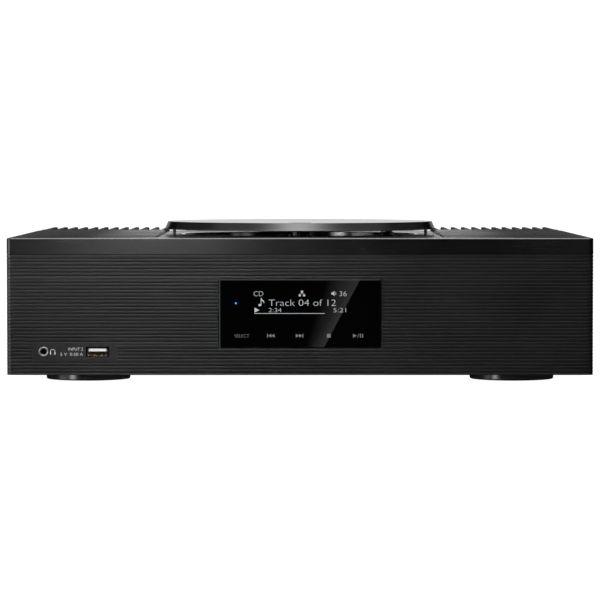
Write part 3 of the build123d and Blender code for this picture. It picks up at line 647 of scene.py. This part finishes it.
def backdrop():
    """A white dome that only the camera sees, so that every view has a clean background."""
    mesh = bpy.data.meshes.new("backdrop")
    bowl = bmesh.new()
    bmesh.ops.create_uvsphere(bowl, u_segments=48, v_segments=24, radius=30.0)
    bowl.to_mesh(mesh)
    bowl.free()
    dome = glowing_stage("backdrop", mesh, [1.0] * len(mesh.vertices), 1.1)
    dome.visible_glossy = False
    dome.visible_diffuse = False
    dome.visible_transmission = False
    dome.visible_shadow = False


def reflection_card():
    """A pale card low behind the camera whose slanted edge shows as a streak across the display glass."""
    y = -2424.0
    (top_x, top_z), (foot_x, foot_z) = (84.0, -7.0), (26.0, -116.0)
    fade = 46.0
    vertices = [(top_x, y, top_z), (foot_x, y, foot_z),
                (foot_x - fade / 2, y, foot_z), (top_x - fade, y, top_z)]
    mesh = raw_mesh("reflection_card", vertices, [(0, 1, 2, 3)])
    glowing_stage("reflection_card", mesh, [1.0, 1.0, 0.0, 0.0], 0.7)


# ---------- deck ----------
def deck_cap():
    """Smooth deck with a turned-down band, chamfered rim and two shallow ramps."""
    weld = 2.7
    wall = 2.5
    chamfer = RIM_CHAMFER
    profile = [(weld, DECK_UNDER), (wall, DECK_UNDER), (wall, SEAM), (0.25, SEAM), (0.0, SEAM + 0.25),
               (0.0, SEAM + 0.35), (0.0, DECK_TOP - chamfer - 0.1), (0.0, DECK_TOP - chamfer),
               (chamfer, DECK_TOP), (chamfer + 0.1, DECK_TOP), (weld, DECK_TOP)]
    outline = rounded_outline(WIDTH, DEPTH, CORNER_R, GUARD)
    rim = raw_mesh("rim", *swept(outline, profile, closed_profile=False))
    vent_middle = ((VENT_X[0] + VENT_X[1]) / 2, (VENT_Y[0] + VENT_Y[1]) / 2)
    vent_size = (VENT_X[1] - VENT_X[0] + 0.2, VENT_Y[1] - VENT_Y[0])
    windows = [rounded_rect(side * vent_middle[0], vent_middle[1], *vent_size, 0.3) for side in (-1, 1)]
    outer = rounded_rect(0, 0, WIDTH - 2 * weld, DEPTH - 2 * weld, CORNER_R - weld)
    holes = [circle(0, 0, WELL_RING_R, ROUND), circle(*PIVOT, PIVOT_HOLE_R, 48), *windows]
    plate = plate_mesh("deck", [outer, *holes], DECK_UNDER, DECK_TOP)
    drop_outer_walls(plate, WIDTH / 2 - weld - 0.2, DEPTH / 2 - weld - 0.2)
    ramps = [ramp_mesh(side) for side in (-1, 1)]
    piece = join_meshes("deck_cap", [rim, plate, *ramps], BAND)
    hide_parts("top_cap")


def polished_edge():
    """Bright line cut along the rim's chamfer."""
    proud = 0.02
    profile = [(0.03, DECK_TOP - RIM_CHAMFER + 0.03 + proud), (RIM_CHAMFER - 0.05, DECK_TOP - 0.05 + proud),
               (RIM_CHAMFER, DECK_TOP - 0.3), (0.3, DECK_TOP - RIM_CHAMFER)]
    mesh_piece("polished_edge", *swept(rounded_outline(WIDTH, DEPTH, CORNER_R, GUARD), profile), CUT_EDGE)


def drop_outer_walls(mesh, half_width, half_depth):
    """Removes the side faces round a plate's outer edge, so that it can be welded to its rim."""
    work = bmesh.new()
    work.from_mesh(mesh)
    doomed = []
    for face in work.faces:
        centre = face.calc_center_median()
        outside = abs(centre.x) > half_width * MM or abs(centre.y) > half_depth * MM
        if outside and abs(face.normal.z) < 0.5:
            doomed.append(face)
    bmesh.ops.delete(work, geom=doomed, context="FACES")
    work.to_mesh(mesh)
    work.free()


def ramp_mesh(side):
    """A long shallow wedge in front of the fins."""
    inner, outer = VENT_X[0] - 1.3, VENT_X[1] + 1.0
    low, high = DECK_TOP - 0.01, FIN_TOP
    front, back = -104.0, VENT_Y[0]
    edge = 0.3
    inner_slope = 1.2
    stations = ((inner, FIN_TOP - DECK_TOP), (inner + inner_slope, 0.0), (outer - edge, 0.0), (outer, edge))
    vertices = []
    for x, drop in stations:
        section = [(front, low), (back, low), (back, high - drop), (back - edge, high - drop),
                   (front + edge, low + 0.02)]
        vertices += [(side * x, y, z) for y, z in section]
    count = len(section)
    last = len(vertices) - count
    faces = [tuple(range(count)), tuple(range(last, last + count))]
    for near in range(0, last, count):
        for corner in range(count):
            following = (corner + 1) % count
            faces.append((near + corner, near + following, near + count + following, near + count + corner))
    return raw_mesh("ramp", vertices, faces)


def well_wall():
    """Polished wall of the disc well with a rolled top lip and a slight draft."""
    top = DECK_TOP + 0.3
    roll = 0.5
    draft = 0.11
    profile = [(WELL_R - draft, WELL_FLOOR), (WELL_R, top - roll - 0.1), (WELL_R, top - roll),
               *arc(WELL_R + roll, top - roll, roll, 180, 90, 5),
               *arc(WELL_RING_R - roll, top - roll, roll, 90, 0, 5), (WELL_RING_R, WELL_FLOOR)]
    piece = lathe("well_wall", profile, DARK_CHROME)
    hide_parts("well_ring")


# ---------- lid ----------
def lid_top():
    """Bevelled smoked plate with eased edges and a thumb dimple near the front."""
    low = LID_BOTTOM + LID_LAND
    slope = (LID_R_TOP - LID_R_BOTTOM) / (LID_TOP - low)
    bevel_levels = (low + 0.45, low + 0.55, LID_TOP - 0.35, LID_TOP - 0.25)
    bevel = [(LID_R_BOTTOM + slope * (z - low), z) for z in bevel_levels]
    profile = [(0.0, low), (LID_R_BOTTOM - 0.15, low), (LID_R_BOTTOM, low + 0.12), *bevel,
               (LID_R_TOP - 0.10, LID_TOP - 0.05), (LID_R_TOP - 0.25, LID_TOP), (LID_R_TOP - 0.35, LID_TOP),
               (0.0, LID_TOP)]
    piece = lathe("lid_top", profile, LID_GLOSS, "lid", segments=LID_ROUND)
    dimple_r = 26.0
    dimple_y = -76.0
    dimple_depth = 1.1
    ball = lathe("dimple", arc(0, 0, dimple_r, -90, 90, 48), LID_GLOSS, "lid")
    ball.data.transform(Matrix.Translation((0, dimple_y * MM, (LID_TOP + dimple_r - dimple_depth) * MM)))
    carve(piece, ball)
    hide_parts("lid_plate")


def carve(piece, cutter):
    """Cuts one mesh from another for good, and removes the cutter."""
    modifier = piece.modifiers.new("carve", "BOOLEAN")
    modifier.operation = "DIFFERENCE"
    modifier.solver = "EXACT"
    modifier.object = cutter
    result = shape_of(piece)
    piece.modifiers.remove(modifier)
    old = piece.data
    piece.data = result
    bpy.data.meshes.remove(old)
    result.shade_smooth()
    result.set_sharp_from_angle(angle=radians(6))
    bpy.data.objects.remove(cutter)


def lid_underplate():
    """Thin black plate under the lid."""
    top = LID_BOTTOM + LID_LAND
    chamfer = 0.12
    profile = [(0.0, LID_BOTTOM), (LID_R_BOTTOM - chamfer, LID_BOTTOM), (LID_R_BOTTOM, LID_BOTTOM + chamfer),
               (LID_R_BOTTOM, top), (0.0, top)]
    piece = lathe("lid_underplate", profile, SHEET, "lid", segments=LID_ROUND)
    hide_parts("lid_backing")


# ---------- feet ----------
def gloss_feet():
    """Four turned feet with a rounded lower edge and a recess for the pad."""
    recess_r, recess_top = 21.0, 1.2
    sole = 0.3
    roll = 0.8
    eased = 0.2
    profile = [(0.0, recess_top), (recess_r, recess_top), (recess_r, sole),
               *arc(FOOT_R - roll, sole + roll, roll, -90, 0, 6), (FOOT_R, sole + roll + 0.1),
               (FOOT_R, BODY_BOTTOM - eased - 0.1), (FOOT_R, BODY_BOTTOM - eased),
               (FOOT_R - eased, BODY_BOTTOM), (0.0, BODY_BOTTOM)]
    meshes = [raw_mesh("foot", *turned(profile, place, segments=128)) for place in FOOT_PLACES]
    piece = join_meshes("gloss_feet", meshes, GLOSS)
    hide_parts("feet")


# ---------- display ----------
def display_pane():
    """Gloss glass with a polished chamfer, sunk a hair behind the rib crests."""
    side_chamfer = 0.54
    top_chamfer = 0.42
    chamfer_depth = 0.16
    (left, right), (low, high) = (-GLASS_X, GLASS_X), GLASS_Z
    back = FRONT + PANEL_WALL
    rings = [(side_chamfer, top_chamfer, GLASS_FRONT), (0.0, 0.0, GLASS_FRONT + chamfer_depth),
             (0.0, 0.0, back)]
    vertices = []
    for side, end, y in rings:
        vertices += [(left + side, y, low + end), (right - side, y, low + end),
                     (right - side, y, high - end), (left + side, y, high - end)]
    faces = [(0, 1, 2, 3), (8, 9, 10, 11)]
    for ring in (0, 4):
        for k in range(4):
            faces.append((ring + k, ring + (k + 1) % 4, ring + 4 + (k + 1) % 4, ring + 4 + k))
    piece = mesh_piece("display_pane", vertices, faces, GLASS, smooth_angle=5.0)
    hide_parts("display_glass")


def on_glass(outlines, front=MARK_BACK):
    """A thin flat mark from (x, z) outlines, standing on the glass."""
    return upright(plate_mesh("mark", outlines, 0.0, MARK_T), front)


def lettering(text, left, base, cap_height, right=None, front=MARK_BACK):
    """Upright letters from x = left, squeezed to end at x = right, standing on z = base."""
    curve = bpy.data.curves.new("letters", "FONT")
    curve.body = text
    curve.size = 1.0
    curve.offset = LETTER_THINNING
    holder = linked("letters", curve)
    mesh = shape_of(holder)
    bpy.data.objects.remove(holder)
    across = [vertex.co.x for vertex in mesh.vertices]
    start = min(across)
    scale_y = cap_height / CAP_RATIO
    scale_x = (right - left) / (max(across) - start) if right else scale_y
    for vertex in mesh.vertices:
        x = left + (vertex.co.x - start) * scale_x
        z = base + vertex.co.y * scale_y
        vertex.co = (x * MM, (front - MARK_T) * MM, z * MM)
    return mesh


def triangle(x, z, width, height, direction=1):
    """A play sign from x, pointing right or, with direction -1, left."""
    half = height / 2
    if direction > 0:
        return [(x, z - half), (x + width, z), (x, z + half)]
    return [(x + width, z - half), (x + width, z + half), (x, z)]


def bar(x_range, z_range):
    (left, right), (low, high) = x_range, z_range
    return [(left, low), (right, low), (right, high), (left, high)]


def note_icon(x, z, height):
    """A quaver: an oval head tilted by 20 degrees, a stem and a curved flag."""
    cos_tilt, sin_tilt = 0.94, 0.34
    head = []
    for across, up in circle(0, 0, 1.0, 24):
        along, over = 0.95 * across, 0.68 * up
        head.append((x + 1.0 + along * cos_tilt - over * sin_tilt,
                     z + 0.75 + along * sin_tilt + over * cos_tilt))
    stem = bar((x + 1.55, x + 1.95), (z + 0.8, z + height))
    flag = [(x + 1.95, z + height), (x + 2.5, z + height - 1.0), (x + 3.5, z + height - 1.7),
            (x + 3.7, z + height - 2.7), (x + 3.3, z + height - 3.3), (x + 3.2, z + height - 2.3),
            (x + 1.95, z + height - 1.5)]
    return [head, stem, flag]


def speaker_icon(x, z):
    """A loudspeaker with one sound wave."""
    cone = [(x, z - 0.6), (x + 0.8, z - 0.6), (x + 1.9, z - 1.6), (x + 1.9, z + 1.6), (x + 0.8, z + 0.6),
            (x, z + 0.6)]
    wave = [(x + 2.4, z - 1.1), (x + 2.9, z - 0.5), (x + 2.9, z + 0.5), (x + 2.4, z + 1.1),
            (x + 2.6, z + 0.4), (x + 2.6, z - 0.4)]
    return [cone, wave]


def network_icon(x, z):
    """Three small boxes joined by lines."""
    upper = bar((x + 1.3, x + 2.7), (z + 0.5, z + 1.7))
    lower = [bar((x + shift, x + shift + 1.3), (z - 1.7, z - 0.7)) for shift in (0.0, 2.7)]
    stem = bar((x + 1.85, x + 2.15), (z - 0.1, z + 0.5))
    cross = bar((x + 0.5, x + 3.5), (z - 0.3, z - 0.1))
    drops = [bar((x + shift, x + shift + 0.3), (z - 0.7, z - 0.3)) for shift in (0.5, 3.2)]
    return [upper, *lower, stem, cross, *drops]


def display_marks():
    """What the lit display shows: source, level, track and times, all generic."""
    top_row, title_row, time_row = 52.9, 46.9, 43.0
    meshes = [lettering("CD", -28.4, top_row, 3.2), lettering("36", 24.1, top_row, 3.2, 28.6),
              lettering("Track 04 of 12", -19.2, title_row, 4.2, 22.0),
              lettering("2:34", -19.2, time_row, 2.8, -11.4), lettering("5:21", 20.4, time_row, 2.8, 28.2)]
    shapes = [*note_icon(-25.6, 46.7, 5.0), *speaker_icon(19.2, 54.5), *network_icon(-0.8, 54.5),
              triangle(-27.9, 44.3, 3.0, 3.0), bar((-27.9, 15.2), (42.1, 42.4))]
    meshes += [on_glass([shape]) for shape in shapes]
    piece = join_meshes("display_marks", meshes, LIT)


def key_marks():
    """The printed row of touch keys below the display: select, previous, next, stop, play and pause."""
    z = 28.6
    height = 2.3
    full = (z - height / 2, z + height / 2)
    previous = [bar((-20.2, -19.7), full), triangle(-19.6, z, 2.0, height, -1),
                triangle(-17.6, z, 2.0, height, -1)]
    following = [triangle(-2.6, z, 2.0, height), triangle(-0.6, z, 2.0, height), bar((1.5, 2.0), full)]
    stop = [bar((16.5, 18.8), full)]
    slash = [(35.1, z - 1.3), (35.4, z - 1.3), (36.3, z + 1.3), (36.0, z + 1.3)]
    play_pause = [triangle(32.5, z, 2.3, height), slash, bar((36.8, 37.4), full), bar((38.1, 38.7), full)]
    meshes = [lettering("SELECT", -40.1, z - 1.05, 2.1, -31.2)]
    meshes += [on_glass([shape]) for shape in previous + following + stop + play_pause]
    piece = join_meshes("key_marks", meshes, KEY_LIT)


def status_dot():
    """The blue power light."""
    mesh = on_glass([circle(-39.3, 48.5, 0.55, 32)])
    piece = join_meshes("status_dot", [mesh], BLUE)


# ---------- front sockets ----------
def jack_bezel():
    """Rounded metal ring in front of the headphone socket."""
    roll = 0.6
    back = FRONT + PANEL_WALL
    middle_r = JACK_RING_R - roll
    profile = [(middle_r - roll, back), *arc(middle_r, FRONT + roll, roll, 180, 360, 8), (JACK_RING_R, back)]
    vertices, faces = turned(profile, JACK, segments=96)
    piece = mesh_piece("jack_bezel", [(x, depth, z) for x, z, depth in vertices], faces, SATIN_METAL)
    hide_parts("jack_ring")


def usb_springs():
    """Two sprung leaves along the floor of the USB shell."""
    x, z = USB
    floor_z = z - 2.5
    thickness = 0.18
    arch = ((1.2, 0.15), (2.5, 0.6), (4.5, 1.15), (6.5, 1.3), (9.0, 0.9), (12.0, 0.15))
    meshes = []
    for left, right in ((-5.6, -0.5), (0.5, 5.6)):
        under = [(FRONT + depth, floor_z + rise - thickness / 2) for depth, rise in arch]
        over = [(y, level + thickness) for y, level in reversed(under)]
        section = under + over
        count = len(section)
        vertices = [(x + side, y, level) for side in (left, right) for y, level in section]
        faces = []
        for point in range(count):
            following = (point + 1) % count
            faces.append((point, count + point, count + following, following))
        for end in (0, count):
            for point in range(len(arch) - 1):
                opposite = end + count - 1 - point
                faces.append((end + point, end + point + 1, opposite - 1, opposite))
        meshes.append(raw_mesh("leaf", vertices, faces))
    piece = join_meshes("usb_springs", meshes, GOLD)


def headphone_icon(x, z):
    """An open band with two ear cups."""
    turns = [radians(angle) for angle in range(-10, 191, 10)]
    outer = [(x + 1.55 * cos(turn), z + 0.1 + 1.6 * sin(turn)) for turn in turns]
    inner = [(x + 1.3 * cos(turn), z + 0.1 + 1.35 * sin(turn)) for turn in reversed(turns)]
    cups = [bar((x + side * 1.35 - 0.25, x + side * 1.35 + 0.25), (z - 1.5, z - 0.1)) for side in (-1, 1)]
    return [outer + inner, *cups]


def socket_print():
    """Grey printed marks on the smooth field: a headphone sign and two plain lines."""
    front = FRONT + FIELD_SUNK
    meshes = [on_glass([shape], front) for shape in headphone_icon(-151.7, 18.6)]
    meshes += [lettering("INPUT 2", -142.0, 19.5, 1.9, -133.2, front),
               lettering("5 V  0.50 A", -147.0, 16.3, 1.9, -133.2, front)]
    piece = join_meshes("socket_print", meshes, PRINT)


# ---------- carried-over nodes ----------
def dress_nodes():
    """Gives every other CAD node its material and eases its edges."""
    finishes = {
        SHEET: ["base_chassis", "rear_panel", "lid_clip"],
        FINS: ["vent_grille_left", "vent_grille_right", "heatsink"],
        DARK_CHROME: ["usb_shell"],
        STEEL: ["case_screws", "inner_screws", "lid_shaft", "guide_rods", "spindle_shaft", "drive_chassis",
                "lan_socket", "feed_pinion", "hub_ball_rear", "hub_ball_left", "hub_ball_right",
                "spindle_motor", "feed_motor"],
        MOULDED: ["disc_well", "lid_lever", "lid_switch", "pickup_cover", "headphone_jack", "mains_inlet",
                  "line_jacks", "lens_carrier", "pickup_sled"],
        RUBBER: ["foot_pads", "lid_bumpers", "drive_grommets", "seat_ring"],
        GLOSS: ["disc_hub", "display_module"],
        GOLD: ["usb_contacts", "line_jack_shells", "inlet_pins", "lid_bush"],
        TONGUE: ["usb_tongue", "ribbon_cable"],
        ACETAL: ["feed_gear"],
        BOARD: ["front_board", "socket_board", "main_board", "power_board"],
        COIL: ["transformer"],
        SLEEVE: ["reservoir_caps"],
        LENS: ["objective_lens"],
        BLUE: ["status_led"],
    }
    eased = {"vent_grille_left": 0.35, "vent_grille_right": 0.35, "rear_panel": 0.2, "mains_inlet": 0.3,
             "disc_well": 0.3, "lan_socket": 0.25, "line_jack_shells": 0.25, "base_chassis": 0.2,
             "foot_pads": 0.2, "heatsink": 0.3, "line_jacks": 0.3, "disc_hub": 0.2, "usb_shell": 0.1,
             "usb_tongue": 0.15}
    for material, names in finishes.items():
        for name in names:
            item = NODES[name]
            item.data.materials.clear()
            item.data.materials.append(material)
    for name, width in eased.items():
        bevelled(NODES[name], width)


# ---------- build ----------
camera()
studio()
surroundings()
floor()
backdrop()
reflection_card()
ribbed_front()
ribbed_side(-1, "side_panel_left")
ribbed_side(1, "side_panel_right")
deck_cap()
polished_edge()
well_wall()
lid_top()
lid_underplate()
gloss_feet()
display_pane()
display_marks()
key_marks()
status_dot()
jack_bezel()
usb_springs()
socket_print()
dress_nodes()
bpy.context.scene.view_settings.view_transform = "Standard"
